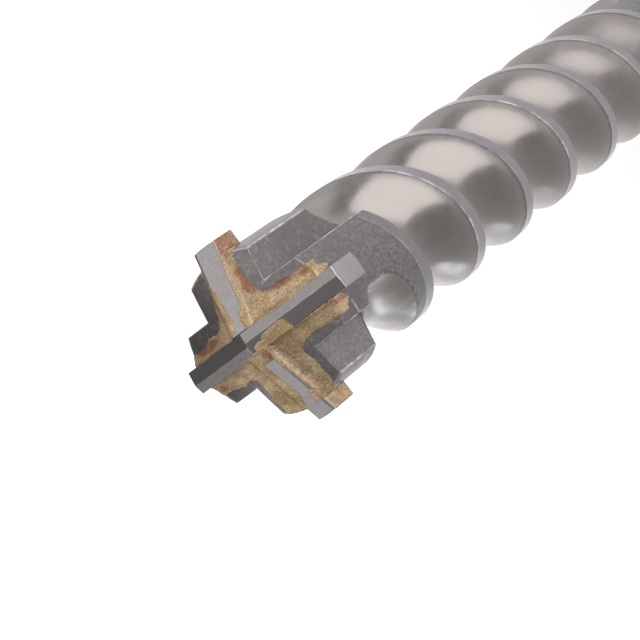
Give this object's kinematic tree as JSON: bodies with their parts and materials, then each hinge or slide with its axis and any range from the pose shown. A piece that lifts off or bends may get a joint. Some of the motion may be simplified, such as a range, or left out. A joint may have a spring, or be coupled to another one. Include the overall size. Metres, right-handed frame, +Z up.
{
  "type": "hammer drill bit",
  "caption": "Steel hammer drill bit with a spiral-fluted body, a cross-shaped head of brazed carbide plates, a plain collar and a grooved shank for a quick-change hammer chuck",
  "frame": {"origin": "On the floor, at the middle of the shank's flat end, on the bit's axis", "axes": "+Z up, along the bit from the end of the shank to the drilling tip; +X along the main carbide plate and +Y along the two side plates. A round bit rolls when it lies, so it stands on the flat end of its shank, tip up"},
  "size_m": [0.025, 0.025, 0.3199],
  "materials": {
    "hardened_steel": "satin, ground lands and darker milled flutes",
    "carbide": "fine ground, light grey",
    "braze": "tarnished golden to coppery solder"
  },
  "bodies": {
    "root": {"steel_body": "hardened_steel", "main_plate": "carbide", "side_plate_left": "carbide", "side_plate_right": "carbide", "braze": "braze"}
  },
  "joints": []
}
